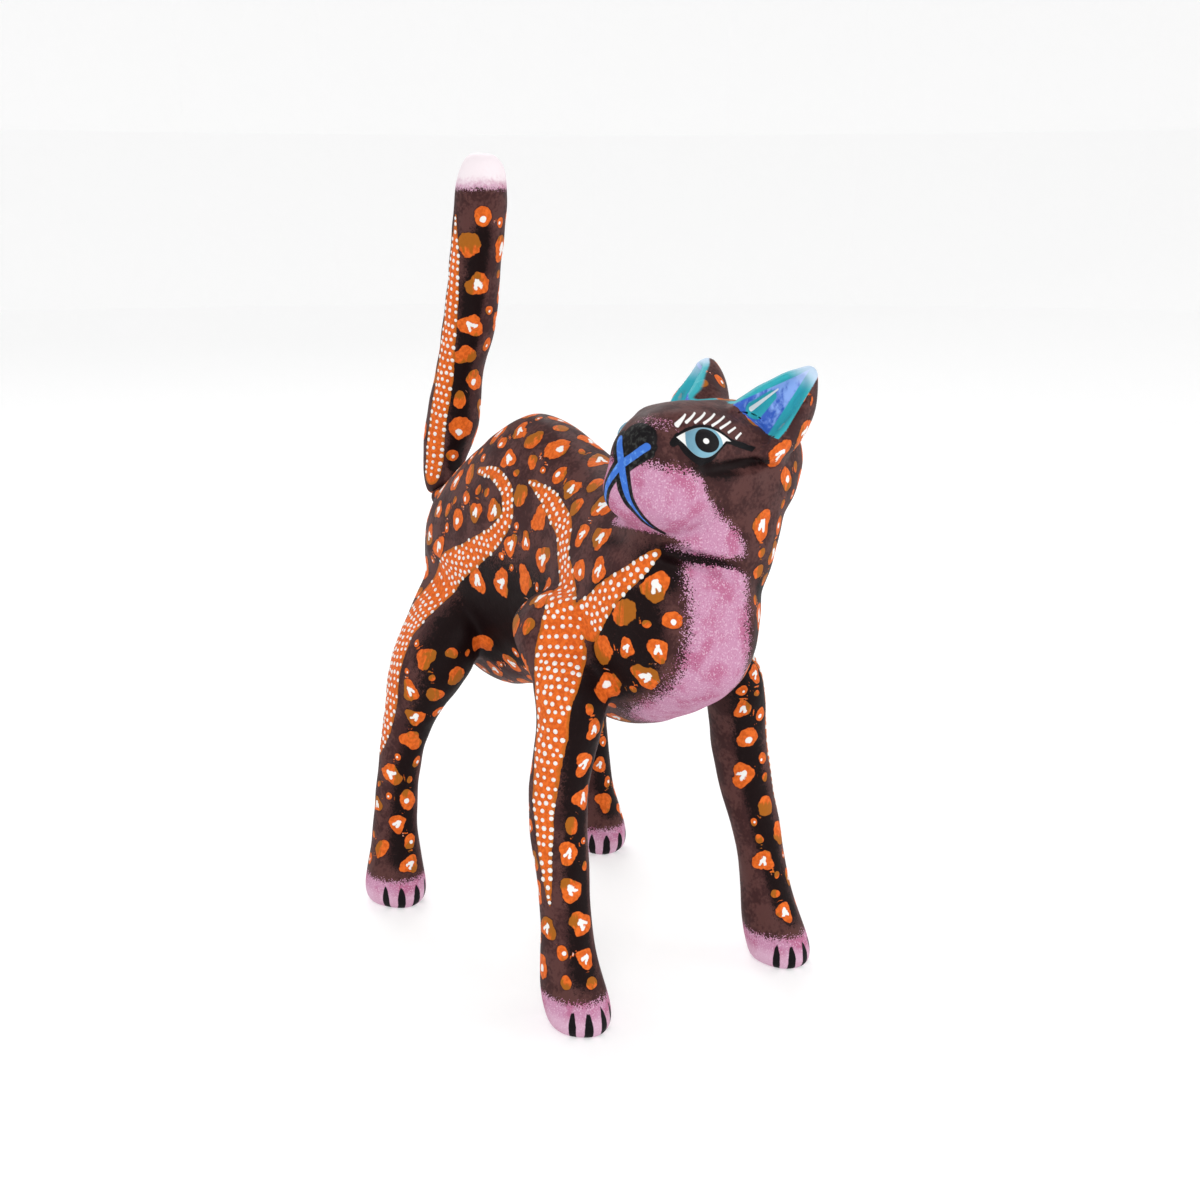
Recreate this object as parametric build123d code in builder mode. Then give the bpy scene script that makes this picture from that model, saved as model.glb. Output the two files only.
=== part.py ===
"""A carved and painted wooden cat, standing with its head turned over its right shoulder.

The trunk, neck and head are one block of copal wood. Four legs are pegged and glued under it,
two ears are let into the head by tenons, and the tail turns and pulls off on a loose peg.
Millimetres. The cat faces -Y, its right side is -X, and the floor is Z = 0.
"""

import os
from collections import namedtuple
from math import cos, radians, sin

from build123d import *

# Trunk: chest to rump, belly to back, and side to side.
trunk_length = 133.0
trunk_height = 70.0
trunk_width = 41.0
belly_height = 67.0
chest_y = -58.0
chest_sway = 1.4

# Neck: its middle where it leaves the trunk and where it enters the head.
neck_width = 37.0
neck_depth = 33.0

# Head: the way it faces, and its size from the nose to the back of the skull.
head_turn = 77.0
head_tilt = 12.0
head_length = 51.0
head_height = 36.0
head_width = 32.0
head_middle = Vector(4.5, -43.0, 128.0)

# Paws: where they stand on either side, how far apart front to back, and the size of one.
front_stance = 61.5
rear_stance = 68.0
front_paw_y = -39.8
front_paw_shift = 0.9
rear_paw_y = chest_y + trunk_length - 27.0
paw_width = 15.0
paw_length = 19.0

# Legs: the height of the joint under the trunk.
front_joint_height = 80.0
rear_joint_height = 76.0

# Pegs and the glue round them.
peg_diameter = 4.0
leg_peg_length = 20.0
tail_peg_length = 22.0
glue_gap = 0.05
end_gap = 0.5
turning_gap = 0.05

# Ears: height from the root to the tip, size at the root, spread, and the tenon below.
ear_height = 18.6
ear_width = 17.0
ear_thickness = 14.5
ear_wall = 1.3
hollow_offset = 0.22
ear_spread = 18.0
tenon_diameter = 4.0
tenon_length = 7.0

# Tail: how far it rises from its seat, and its thickness at the seat and near the tip.
tail_rise = 93.0
tail_root_diameter = 12.0
tail_diameter = 14.4
tail_seat = Vector(0.0, chest_y + trunk_length, 109.5)
tail_seat_lean = 30.0

Station = namedtuple("Station", "along width low high")
Ring = namedtuple("Ring", "height out back width length")

# The trunk's outline: share of the length from the chest, then width, belly line and back line.
trunk_stations = [
    Station(0.00, 0.36, 0.26, 0.62),
    Station(0.06, 0.76, 0.14, 0.71),
    Station(0.15, 0.98, 0.05, 0.79),
    Station(0.28, 0.94, -0.03, 0.83),
    Station(0.43, 0.78, -0.03, 0.90),
    Station(0.61, 0.80, -0.05, 0.99),
    Station(0.75, 0.86, -0.10, 0.89),
    Station(0.86, 0.80, 0.00, 0.76),
    Station(0.94, 0.56, 0.22, 0.65),
    Station(1.00, 0.20, 0.38, 0.55),
]


def trunk_point(station):
    """The middle of a trunk section, and its half width and half height."""
    y = chest_y + station.along * trunk_length
    middle = belly_height + (station.low + station.high) / 2 * trunk_height
    half_height = (station.high - station.low) / 2 * trunk_height
    sway = -chest_sway * max(0.0, 1 - 2 * station.along)
    return Vector(sway, y, middle), station.width * trunk_width / 2, half_height


def lofted(sections):
    """A solid lofted through ellipses, each given as its plane and its two half axes."""
    with BuildPart() as solid:
        for plane, half_x, half_y in sections:
            with BuildSketch(plane):
                Ellipse(half_x, half_y)
        loft()
    return solid.part


def plane_at(origin, facing, across):
    """A section plane that faces along a direction, with its X axis turned towards across."""
    facing = Vector(*facing).normalized()
    across = Vector(*across)
    return Plane(origin=origin, x_dir=across - facing * across.dot(facing), z_dir=facing)


def make_torso():
    sections = []
    for station in trunk_stations:
        middle, half_width, half_height = trunk_point(station)
        sections.append((plane_at(middle, (0, 1, 0), (1, 0, 0)), half_width, half_height))
    return lofted(sections)


def make_neck():
    half_width, half_depth = neck_width / 2, neck_depth / 2
    root = Vector(0, chest_y + 20, belly_height + 0.47 * trunk_height)
    nape = head_middle + Vector(4, 1, 7)
    waist = root * 0.5 + nape * 0.5 - Vector(1, 2, 0)
    return lofted(
        [
            (plane_at(root, (0, 0, 1), (1, 0, 0)), half_width, half_depth),
            (plane_at(waist, (0.25, -0.1, 1), (1, 0, 0)), half_width, half_depth),
            (plane_at(nape, (0.4, 0, 1), (1, 0, 0)), 0.84 * half_width, 0.88 * half_depth),
        ]
    )


def head_axes():
    """The head's forward, left and up directions."""
    turn, tilt = radians(head_turn), radians(head_tilt)
    level = Vector(-sin(turn), -cos(turn), 0)
    forward = level * cos(tilt) + Vector(0, 0, sin(tilt))
    left = Vector(cos(turn), -sin(turn), 0)
    return forward, left, forward.cross(left)


def make_head():
    forward, left, up = head_axes()
    # Share of the length ahead of the middle, rise, height and width of each section.
    outline = [
        (-0.43, 0.18, 0.42, 0.46),
        (-0.28, 0.10, 0.84, 0.86),
        (0.00, 0.00, 1.00, 1.00),
        (0.29, 0.02, 0.84, 0.82),
        (0.48, 0.04, 0.60, 0.56),
        (0.56, 0.05, 0.28, 0.30),
    ]
    sections = []
    for ahead, rise, height, width in outline:
        middle = head_middle + forward * (ahead * head_length) + up * (rise * head_height)
        sections.append((plane_at(middle, forward, left), width * head_width / 2, height * head_height / 2))
    return lofted(sections)


# Each ring of a leg: share of the joint's height, share of the way out from the joint to the paw,
# millimetres behind the straight line from paw to joint, then width and length in paws or shanks.
front_rings = [
    Ring(0.00, 1.00, 0.0, 0.88, 0.88),
    Ring(0.07, 1.00, 0.0, 1.00, 0.98),
    Ring(0.16, 0.98, 1.5, 0.92, 0.84),
    Ring(0.26, 0.94, 2.0, 0.82, 0.69),
    Ring(0.45, 0.83, 2.5, 0.85, 0.68),
    Ring(0.72, 0.58, 2.2, 0.95, 0.76),
    Ring(1.00, 0.00, 0.0, 1.20, 1.06),
    Ring(1.25, -0.85, -1.0, 1.05, 1.10),
]
rear_rings = [
    Ring(0.00, 1.00, 0.0, 0.90, 0.90),
    Ring(0.07, 1.00, 0.0, 1.08, 1.02),
    Ring(0.16, 0.97, 1.0, 0.95, 0.88),
    Ring(0.28, 0.92, 2.0, 0.80, 0.70),
    Ring(0.50, 0.80, 2.6, 0.76, 0.68),
    Ring(0.72, 0.55, 1.0, 0.94, 1.00),
    Ring(1.00, 0.00, -0.8, 1.20, 1.56),
    Ring(1.28, -0.45, 0.0, 1.18, 1.66),
]


class Leg:
    """One leg: its paw and its joint, on the side given by -1 for right and +1 for left."""

    def __init__(self, name, side, paw, joint, sway, rings):
        """A paw and a joint are (out, along, up); sway moves the joint right and the paw left."""
        self.name = name
        self.paw = Vector(side * paw[0] + sway * front_paw_shift, paw[1], 0)
        self.joint = Vector(side * joint[0] - sway * chest_sway, joint[1], joint[2])
        self.rings = rings

    def ring_middle(self, ring):
        way = ring.out
        reach = self.joint + (self.paw - self.joint) * way
        back = self.joint.Y + (self.paw.Y - self.joint.Y) * (1 - ring.height)
        return Vector(reach.X, back + ring.back, ring.height * self.joint.Z)

    def whole(self):
        """The leg and the shoulder or haunch above it, as one solid."""
        sections = []
        for ring in self.rings:
            plane = plane_at(self.ring_middle(ring), (0, 0, 1), (1, 0, 0))
            sections.append((plane, ring.width * paw_width / 2, ring.length * paw_length / 2))
        return lofted(sections)

    def joint_plane(self):
        """The glued joint, square to the leg where it meets the trunk."""
        below, above = self.ring_middle(self.rings[-3]), self.ring_middle(self.rings[-1])
        return plane_at(self.joint, above - below, (1, 0, 0))


def make_pin(middle, direction, diameter, length):
    """A round pin centred on a point and lying along a direction."""
    start = middle - direction * (length / 2)
    pin = Cylinder(diameter / 2, length, align=(Align.CENTER, Align.CENTER, Align.MIN))
    return Plane(origin=start, z_dir=direction) * pin


def half_space(plane, size=400.0):
    """Everything on the side a plane faces."""
    block = Box(size, size, size, align=(Align.CENTER, Align.CENTER, Align.MIN))
    return plane * block


class Ear:
    """One ear, on the side given by -1 for right and +1 for left."""

    # Share of the height, then millimetres ahead and outwards, width and thickness of the blade.
    outline = [
        (-0.40, 2.6, 0.0, 1.00, 1.22),
        (0.10, 1.0, 0.8, 1.00, 1.16),
        (0.50, 0.2, 1.0, 0.78, 0.90),
        (0.82, 0.0, 0.5, 0.42, 0.52),
        (1.00, 0.0, 0.0, 0.13, 0.16),
    ]

    def __init__(self, name, side):
        self.name = name
        forward, left, up = head_axes()
        out = left * side
        self.root = head_middle - forward * 3.2 + out * (ear_spread / 2) + up * (0.36 * head_height)
        self.axis = (up * 0.82 + out * 0.34 - forward * 0.47).normalized()
        facing = forward * 0.66 + out * 0.70 + up * 0.28
        self.facing = (facing - self.axis * facing.dot(self.axis)).normalized()
        self.across = self.axis.cross(self.facing) * side

    def section(self, share, ahead, outward, half_width, half_thickness):
        origin = self.root + self.axis * (share * ear_height) + self.facing * ahead + self.across * outward
        return plane_at(origin, self.axis, self.across), half_width, half_thickness

    def blade(self):
        """The pointed blade with its front hollowed out, nearer to its inner edge."""
        outer, hollow = [], []
        for share, ahead, outward, width, thickness in self.outline:
            half_width, half_thickness = width * ear_width / 2, thickness * ear_thickness / 2
            outer.append(self.section(share, ahead, outward, half_width, half_thickness))
            if share < 0.95:
                deep = ahead + half_thickness * 0.80 + ear_wall
                inward = outward - hollow_offset * half_width
                half_hollow = half_width * (1 - hollow_offset) - ear_wall
                hollow.append(self.section(share, deep, inward, half_hollow, half_thickness))
        return lofted(outer) - lofted(hollow)

    def tenon(self, gap=0.0, end=0.0):
        """The round tenon, from inside the blade down into the skull."""
        top, bottom = 0.20 * ear_height, tenon_length + 0.15 * ear_height + end
        middle = self.root + self.axis * ((top - bottom) / 2) - self.facing * (0.12 * ear_thickness)
        return make_pin(middle, self.axis, tenon_diameter + 2 * gap, top + bottom)


# The tail's curve: share of the rise, then millimetres forward of the seat, to the left, and thickness.
tail_curve = [
    (0.156, -2.2, 1.9, 1.00),
    (0.296, 0.4, 3.4, 1.00),
    (0.457, 5.0, 4.2, 1.00),
    (0.618, 9.7, 4.2, 1.00),
    (0.769, 13.8, 3.7, 1.00),
    (0.887, 16.5, 3.4, 0.99),
    (0.955, 17.8, 3.2, 0.84),
    (1.000, 18.4, 3.2, 0.36),
]


def tail_axis():
    lean = radians(tail_seat_lean)
    return Vector(0, sin(lean), cos(lean))


def make_tail():
    """The whole tail from inside the rump to its tip."""
    axis, radius = tail_axis(), tail_root_diameter / 2
    middles = [tail_seat - axis * 13 - Vector(0, 4, 0), tail_seat, tail_seat + axis * 3]
    radii = [0.8 * radius, radius, radius]
    for share, forward, left, thickness in tail_curve:
        middles.append(tail_seat + Vector(left, -forward, share * tail_rise))
        radii.append(thickness * tail_diameter / 2)
    sections = []
    for i, (middle, radius) in enumerate(zip(middles, radii)):
        if i < 3:
            direction = axis
        else:
            direction = middles[min(i + 1, len(middles) - 1)] - middles[i - 1]
        sections.append((plane_at(middle, direction, (1, 0, 0)), radius, radius))
    return lofted(sections)


def make_figure():
    """Every piece of the cat, each labelled with its own name."""
    front = ((front_stance / 2, front_paw_y), (21.5, -26, front_joint_height), 1, front_rings)
    rear = ((rear_stance / 2, rear_paw_y), (20, rear_paw_y - 3, rear_joint_height), 0, rear_rings)
    legs = [
        Leg("front_left_leg", 1, *front),
        Leg("front_right_leg", -1, *front),
        Leg("rear_left_leg", 1, *rear),
        Leg("rear_right_leg", -1, *rear),
    ]
    ears = [Ear("left_ear", 1), Ear("right_ear", -1)]
    pieces = {}

    trunk = make_torso() + make_neck() + make_head()
    lower_legs = {}
    for leg in legs:
        whole, above = leg.whole(), half_space(leg.joint_plane())
        trunk += whole & above
        lower_legs[leg.name] = whole - above
    whole_tail, seat = make_tail(), Plane(origin=tail_seat, z_dir=tail_axis())
    trunk += whole_tail - half_space(seat)
    tail = whole_tail & half_space(seat)

    for leg in legs:
        direction = leg.joint_plane().z_dir
        bore_length = leg_peg_length + 2 * end_gap
        bore = make_pin(leg.joint, direction, peg_diameter + 2 * glue_gap, bore_length)
        pieces[leg.name] = lower_legs[leg.name] - trunk - bore
        trunk -= bore
        pieces[leg.name + "_peg"] = make_pin(leg.joint, direction, peg_diameter, leg_peg_length)

    for ear in ears:
        pieces[ear.name] = ear.blade() - trunk + ear.tenon()
        trunk -= ear.tenon(glue_gap, end_gap)

    bore_length = tail_peg_length + 2 * end_gap
    bore = make_pin(tail_seat, tail_axis(), peg_diameter + 2 * turning_gap, bore_length)
    pieces["tail"] = tail - bore
    pieces["tail_peg"] = make_pin(tail_seat, tail_axis(), peg_diameter, tail_peg_length)
    pieces["trunk"] = trunk - bore
    return pieces


def stand_on_origin(pieces):
    """Move every piece so that the figure stands on Z = 0, centred to a hundredth."""
    boxes = [piece.bounding_box() for piece in pieces.values()]
    middle_x = (min(box.min.X for box in boxes) + max(box.max.X for box in boxes)) / 2
    middle_y = (min(box.min.Y for box in boxes) + max(box.max.Y for box in boxes)) / 2
    shift = Pos(round(-middle_x, 2), round(-middle_y, 2), -min(box.min.Z for box in boxes))
    return {name: shift * piece for name, piece in pieces.items()}


os.makedirs("parts", exist_ok=True)
for name, piece in stand_on_origin(make_figure()).items():
    piece.label = name
    export_step(piece, f"parts/{name}.step")
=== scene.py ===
"""The looks of a carved and painted wooden cat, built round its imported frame.

Lengths inside the functions are millimetres in the frame's own axes: the cat faces -Y, its right
side is -X and it stands on Z = 0. Meshes are made in metres.
"""

from math import cos, radians, sin

import bpy
import numpy as np
import openvdb as vdb
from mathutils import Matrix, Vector
from mathutils.kdtree import KDTree


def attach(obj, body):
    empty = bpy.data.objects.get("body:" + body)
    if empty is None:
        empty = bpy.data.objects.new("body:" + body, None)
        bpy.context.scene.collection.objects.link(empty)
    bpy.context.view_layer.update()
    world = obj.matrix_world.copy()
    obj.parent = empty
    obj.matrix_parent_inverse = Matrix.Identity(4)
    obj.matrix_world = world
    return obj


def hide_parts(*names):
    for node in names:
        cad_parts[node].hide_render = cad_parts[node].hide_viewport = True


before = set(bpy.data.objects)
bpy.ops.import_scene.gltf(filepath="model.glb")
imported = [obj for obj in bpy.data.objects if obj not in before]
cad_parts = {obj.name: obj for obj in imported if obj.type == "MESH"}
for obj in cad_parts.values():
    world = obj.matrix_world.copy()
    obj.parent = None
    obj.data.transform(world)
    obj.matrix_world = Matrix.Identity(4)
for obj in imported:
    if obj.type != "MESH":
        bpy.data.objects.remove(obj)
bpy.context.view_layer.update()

# ------------------------------------------------------------------ sizes
# The grids that the skins are worked out on, the paper's own glow, and where the head and tail are.
BODY_STEP = 0.64
TAIL_STEP = 0.45
PAPER_GLOW = 0.44

HEAD = np.array([4.5, -55.0, 128.0])
HEAD_TURN, HEAD_TILT = radians(77.0), radians(12.0)
AHEAD = np.array([-sin(HEAD_TURN) * cos(HEAD_TILT), -cos(HEAD_TURN) * cos(HEAD_TILT), sin(HEAD_TILT)])
LEFT = np.array([cos(HEAD_TURN), -sin(HEAD_TURN), 0.0])
UP = np.cross(AHEAD, LEFT)

TAIL_SEAT = np.array([0.0, 63.0, 109.5])
TAIL_AXIS = np.array([0.0, sin(radians(30.0)), cos(radians(30.0))])
PEG_BORE = 4.1
BORE_DEPTH = 11.5
TAIL_CLEARANCE = 8.0

LEGS = ("front_left_leg", "front_right_leg", "rear_left_leg", "rear_right_leg")
EARS = ("left_ear", "right_ear")


# ------------------------------------------------------------------ distance fields
class Block:
    """A box of space divided into cubes, with the place of every cube's centre."""

    def __init__(self, low, high, step):
        self.step = step
        self.first = np.floor(np.asarray(low) / step).astype(int)
        self.count = np.ceil(np.asarray(high) / step).astype(int) - self.first + 1
        axes = [(self.first[i] + np.arange(self.count[i])) * step for i in range(3)]
        self.x, self.y, self.z = np.meshgrid(*axes, indexing="ij", sparse=True)

    def distance(self, node, reach=7.0):
        """Millimetres from a frame node's surface, negative inside, held level beyond reach."""
        points, corners = node_mesh(node)
        grid = vdb.FloatGrid.createLevelSetFromPolygons(
            points.astype(np.float32),
            triangles=corners.astype(np.uint32),
            transform=vdb.createLinearTransform(voxelSize=self.step),
            halfWidth=reach / self.step,
        )
        values = np.empty(tuple(self.count), np.float32)
        grid.copyToArray(values, ijk=tuple(int(i) for i in self.first))
        return values

    def along(self, origin, direction):
        """How far each place is from a point along a direction."""
        x, y, z = self.x - origin[0], self.y - origin[1], self.z - origin[2]
        return (x * direction[0] + y * direction[1] + z * direction[2]).astype(np.float32)

    def surface(self, values):
        """The zero surface as vertices and triangles that face outwards."""
        grid = vdb.FloatGrid()
        grid.background = float(values.max())
        grid.copyFromArray(np.ascontiguousarray(values, np.float32), ijk=tuple(int(i) for i in self.first))
        grid.transform = vdb.createLinearTransform(voxelSize=self.step)
        points, quads = grid.convertToQuads(isovalue=0.0)
        quads = quads.astype(np.int64)
        corners = np.concatenate([quads[:, [0, 1, 2]], quads[:, [0, 2, 3]]])
        a, b, c = (points[corners[:, i]].astype(np.float64) for i in range(3))
        volume = np.einsum("ij,ij->i", a, np.cross(b, c)).sum()
        return points.astype(np.float64), corners if volume > 0 else corners[:, ::-1]


def node_mesh(name):
    """A copy of a node's vertices in millimetres, and its triangles."""
    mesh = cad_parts[name].data
    mesh.calc_loop_triangles()
    points = np.empty(len(mesh.vertices) * 3)
    mesh.vertices.foreach_get("co", points)
    corners = np.empty(len(mesh.loop_triangles) * 3, np.int32)
    mesh.loop_triangles.foreach_get("vertices", corners)
    return points.reshape(-1, 3) * 1000, corners.reshape(-1, 3)


def blend(first, second, width):
    """The union of two fields with a fillet: the lower, less a quarter of their nearness squared."""
    near = np.maximum(width - np.abs(first - second), 0) / width
    return np.minimum(first, second) - near * near * width / 4


def softened(values, radius, step):
    """A field averaged three times over a box, which rounds every crease and edge."""
    half = max(1, round(radius / step))
    for axis in (0, 1, 2) * 2:
        total = np.cumsum(values, axis=axis, dtype=np.float64)
        size = values.shape[axis]
        high = np.minimum(np.arange(size) + half, size - 1)
        low = np.arange(size) - half - 1
        span = (high - np.maximum(low, -1)).astype(np.float64)
        upper = np.take(total, high, axis=axis)
        lower = np.take(total, np.maximum(low, 0), axis=axis)
        keep = (low >= 0).astype(np.float64)
        shape = [1, 1, 1]
        shape[axis] = size
        values = ((upper - lower * keep.reshape(shape)) / span.reshape(shape)).astype(np.float32)
    return values


def ellipsoid(a, b, c, middle, half):
    """About the distance from an ellipsoid: its scaled radius less one, times its least half axis."""
    radius = np.sqrt(sum(((v - m) / h) ** 2 for v, m, h in zip((a, b, c), middle, half)))
    return (radius - 1) * min(half)


# ------------------------------------------------------------------ the carved figure
def round_bore(block, values, origin, direction, radius, depth):
    """Takes out a round hole: where both the distance from its axis and along it are small."""
    rise = block.along(origin, direction)
    x, y, z = block.x - origin[0], block.y - origin[1], block.z - origin[2]
    off = np.sqrt(np.maximum(x**2 + y**2 + z**2 - rise**2, 0))
    return np.maximum(values, -np.maximum(off - radius, np.abs(rise) - depth)).astype(np.float32)


def knife_marks(block, values):
    """Adds the slight unevenness of knife and sandpaper: two products of slow sine waves."""
    x, y, z = block.x, block.y, block.z
    slow = np.sin(x * 0.31 + 1.3) * np.sin(y * 0.27 + 0.4) * np.sin(z * 0.23 + 2.1)
    quick = np.sin(x * 0.67 + y * 0.11) * np.sin(z * 0.53 - y * 0.41 + 1.0)
    return values + (0.16 * slow + 0.09 * quick).astype(np.float32)


def capsule(a, b, c, start, end, radius):
    """Distance from a round-ended rod: from the nearest point of its middle line, less its radius."""
    run = [q - p for p, q in zip(start, end)]
    reach = [v - p for v, p in zip((a, b, c), start)]
    share = sum(r * d for r, d in zip(reach, run)) / sum(d * d for d in run)
    share = np.clip(share, 0, 1)
    return np.sqrt(sum((r - share * d) ** 2 for r, d in zip(reach, run))) - radius


def carve_head(block, values):
    """Cuts the face in the head's own directions: muzzle, nose, brows, eyes, cheek ledges and jaw."""
    a, b, c = block.along(HEAD, AHEAD), block.along(HEAD, LEFT), block.along(HEAD, UP)
    side = np.abs(b)
    values = blend(values, ellipsoid(a, side, c, (17.5, 4.6, -5.2), (10.0, 7.4, 7.2)), 3.0)
    values = blend(values, ellipsoid(a, b, c, (25.2, 1.2, 6.0), (3.6, 4.8, 3.6)), 1.6)
    values = blend(values, capsule(a, side, c, (19.0, 5.0, 11.0), (1.0, 11.2, 10.4), 2.0), 2.5)
    values = blend(values, ellipsoid(a, side, c, (16.6, 9.2, 7.0), (6.2, 2.8, 3.6)), 0.7)
    values = -blend(-values, capsule(a, side, c, (17.5, 13.4, 2.2), (-1.0, 16.6, 6.0), 2.1), 1.2)
    values = blend(values, capsule(a, side, c, (15.5, 11.2, 3.9), (3.0, 13.5, 7.6), 1.3), 0.9)
    jaw = capsule(a, b, c, (15.5, 3.0, -17.2), (9.0, 11.0, -18.6), 1.7)
    jaw = np.minimum(jaw, capsule(a, b, c, (9.0, 11.0, -18.6), (1.0, 16.8, -20.4), 1.8))
    return -blend(-values, jaw, 2.0)


def figure_field(step, low, high):
    """Trunk, legs and ears as one skin, its joints filled and its creases eased by sanding."""
    block = Block(low, high, step)
    values = block.distance("trunk")
    for leg in LEGS:
        values = np.minimum(values, block.distance(leg))
    values = softened(values, 1.1, step) - 0.12
    values = carve_head(block, values)
    for ear in EARS:
        values = blend(values, softened(block.distance(ear), 0.4, step), 1.6)
    values = knife_marks(block, values)
    rise = block.along(TAIL_SEAT, TAIL_AXIS)
    x, y, z = block.x - TAIL_SEAT[0], block.y - TAIL_SEAT[1], block.z - TAIL_SEAT[2]
    off = np.sqrt(np.maximum(x**2 + y**2 + z**2 - rise**2, 0))
    values = np.maximum(values, -np.maximum(off - TAIL_CLEARANCE, -rise))
    values = round_bore(block, values, TAIL_SEAT, TAIL_AXIS, PEG_BORE / 2, BORE_DEPTH)
    return block, np.maximum(values, -block.z + 0 * block.x * block.y).astype(np.float32)


class Skin:
    """A carved skin: its mesh before cutting, and the field it came from, to sample normals from."""

    def __init__(self, block, values):
        self.block, self.values = block, values
        self.points, self.corners = block.surface(values)
        self.tree = tree_of(self.points)
        self.slopes = [np.gradient(values, axis=axis) for axis in range(3)]

    def sample(self, array, points):
        """An array's value at any places: the mean of the eight cubes round each, by nearness."""
        spot = points / self.block.step - self.block.first
        spot = np.clip(spot, 0, self.block.count - 1.001)
        base = spot.astype(int)
        part = spot - base
        total = 0
        for corner in range(8):
            step = np.array([corner & 1, corner >> 1 & 1, corner >> 2 & 1])
            share = np.where(step, part, 1 - part).prod(1)
            total = total + share * array[tuple((base + step).T)]
        return total

    def normals(self, points):
        slope = np.stack([self.sample(array, points) for array in self.slopes], 1)
        return slope / np.maximum(np.linalg.norm(slope, axis=1), 1e-9)[:, None]

    def border(self, inner, outer):
        """A level that is negative where one node is nearer than the other."""
        gap = self.block.distance(inner) - self.block.distance(outer)
        return lambda points: self.sample(gap, points)


def cut_mesh(points, corners, level):
    """Splits a mesh where level is zero, keeps the negative side, and closes the cut.

    A triangle with corners on both sides is cut where level, taken as straight along each edge,
    is zero; every open edge is then joined to the middle of its ring.
    """
    height = level(points)
    height = np.where(np.abs(height) < 1e-6, 1e-6, height)
    inside = height < 0
    count = inside[corners].sum(1)
    crossing = corners[(count == 1) | (count == 2)]
    which = inside[crossing]
    single = which.sum(1) == 1
    lone = np.where(single[:, None], which, ~which).argmax(1)
    tri = np.take_along_axis(crossing, (lone[:, None] + np.arange(3)) % 3, 1)
    ends = np.sort(np.concatenate([tri[:, [0, 1]], tri[:, [0, 2]]]), 1)
    edges, where = np.unique(ends, axis=0, return_inverse=True)
    where = where.reshape(-1) + len(points)
    share = (height[edges[:, 0]] / (height[edges[:, 0]] - height[edges[:, 1]]))[:, None]
    fresh = points[edges[:, 0]] * (1 - share) + points[edges[:, 1]] * share
    points = np.concatenate([points, fresh])
    p, q = where[: len(tri)], where[len(tri) :]
    first, second, third = tri.T
    pair = ~single
    kept = [
        corners[count == 3],
        np.stack([first, p, q], 1)[single],
        np.stack([p, second, third], 1)[pair],
        np.stack([p, third, q], 1)[pair],
    ]
    rim = np.concatenate([np.stack([q, p], 1)[single], np.stack([p, q], 1)[pair]])
    label = np.arange(len(points))
    for _ in range(400):
        low = np.minimum(label[rim[:, 0]], label[rim[:, 1]])
        before = label.copy()
        np.minimum.at(label, rim[:, 0], low)
        np.minimum.at(label, rim[:, 1], low)
        label = label[label]
        if (label == before).all():
            break
    for ring in np.unique(label[rim[:, 0]]):
        mine = rim[label[rim[:, 0]] == ring]
        kept.append(np.stack([mine[:, 0], mine[:, 1], np.full(len(mine), len(points))], 1))
        points = np.concatenate([points, points[np.unique(mine)].mean(0)[None]])
    return points, np.concatenate(kept)


def make_piece(name, points, corners, normals=None, paint=None):
    """A mesh object from millimetre vertices and triangles, with its normals and paint layers."""
    used = np.unique(corners)
    place = np.full(len(points), -1)
    place[used] = np.arange(len(used))
    points, corners = points[used], place[corners]
    mesh = bpy.data.meshes.new(name)
    mesh.vertices.add(len(points))
    mesh.vertices.foreach_set("co", (points / 1000).astype(np.float32).ravel())
    mesh.loops.add(corners.size)
    mesh.loops.foreach_set("vertex_index", corners.astype(np.int32).ravel())
    mesh.polygons.add(len(corners))
    mesh.polygons.foreach_set("loop_start", np.arange(len(corners), dtype=np.int32) * 3)
    mesh.update(calc_edges=True)
    mesh.polygons.foreach_set("use_smooth", np.ones(len(corners), bool))
    for layer, data in (paint(points) if paint else {}).items():
        kind = "FLOAT" if data.ndim == 1 else "FLOAT_VECTOR"
        attribute = mesh.attributes.new(layer, kind, "POINT")
        attribute.data.foreach_set("value" if data.ndim == 1 else "vector", data.astype(np.float32).ravel())
    if normals is not None:
        mesh.normals_split_custom_set_from_vertices(normals(points))
    piece = bpy.data.objects.new(name, mesh)
    bpy.context.scene.collection.objects.link(piece)
    return piece


# ------------------------------------------------------------------ where the paint goes
SPOT_RNG = np.random.default_rng(7)

# Orange bands on the right side: out, along, up, and half the width. The left side mirrors them.
HAUNCH_BAND = [
    (13, 22, 121, 1.0), (14, 13, 122.5, 1.8), (16, 5, 119, 2.3), (17.5, 3, 112, 2.5),
    (18.5, 9, 105.5, 3.0), (20, 22, 98, 4.2), (23, 34, 90, 5.8), (28, 38, 80, 6.2),
    (33, 36, 70, 5.4), (35, 35, 60, 4.4), (36.5, 37, 50, 3.0), (37, 39, 42, 0.6),
]
SHOULDER_BAND = [
    (12.5, -2, 122.5, 0.5), (14, -13, 119, 2.8), (15.5, -23, 114, 3.4), (18, -27, 106, 3.2),
    (24, -36, 99, 4.2), (27, -40, 90, 6.2), (30, -42, 82, 6.2), (32.5, -43, 74, 5.4),
    (33.5, -43, 64, 4.4), (34.5, -43, 54, 3.2), (34.5, -44, 44, 2.2), (35, -46, 36, 1.4), (35, -47, 29, 0.3),
]
BREAST_BAND = [(14, -61, 114.5, 1.1), (17.5, -56, 109, 2.4), (21, -49, 102.5, 3.8), (25, -43, 95, 5.2)]
TAIL_BAND = [
    (3.5, 48, 187, 0.4), (3.5, 50.5, 175, 2.4), (3.5, 53.5, 164, 3.0), (3.5, 57, 150, 3.2),
    (3.8, 60, 136, 3.2), (4.5, 62, 124, 3.0), (5, 63, 113, 2.8),
]


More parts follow.
